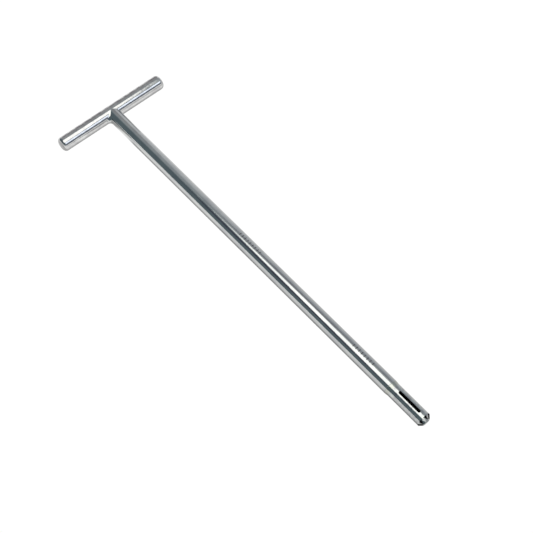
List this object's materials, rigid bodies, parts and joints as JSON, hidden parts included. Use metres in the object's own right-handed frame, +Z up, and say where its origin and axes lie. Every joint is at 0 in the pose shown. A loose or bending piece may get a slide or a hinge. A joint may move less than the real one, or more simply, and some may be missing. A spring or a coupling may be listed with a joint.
{
  "type": "tap wrench",
  "caption": "Long-reach T-handle wrench: round cross bar welded to a round shaft that ends in a slotted, notched tubular nose for a tap shank.",
  "frame": {"origin": "centre of the nose's mouth, on the tool's axis", "axes": "+Y up the shaft to the cross bar, +X along the cross bar, +Z up with the tool lying flat"},
  "size_m": [0.106, 0.38, 0.0126],
  "materials": {
    "plated_bar": "bright plate over drawn steel, lightly scuffed",
    "plated_shaft": "bright plate over drawn steel",
    "plated_weld": "plated weld bead, dressed smooth",
    "plated_nose": "bright plate over turned steel",
    "braze": "thin plated braze bead"
  },
  "bodies": {
    "root": {"handle_bar": "plated_bar", "shaft": "plated_shaft", "handle_weld": "plated_weld", "nose_socket": "plated_nose", "nose_braze": "braze"}
  },
  "joints": []
}
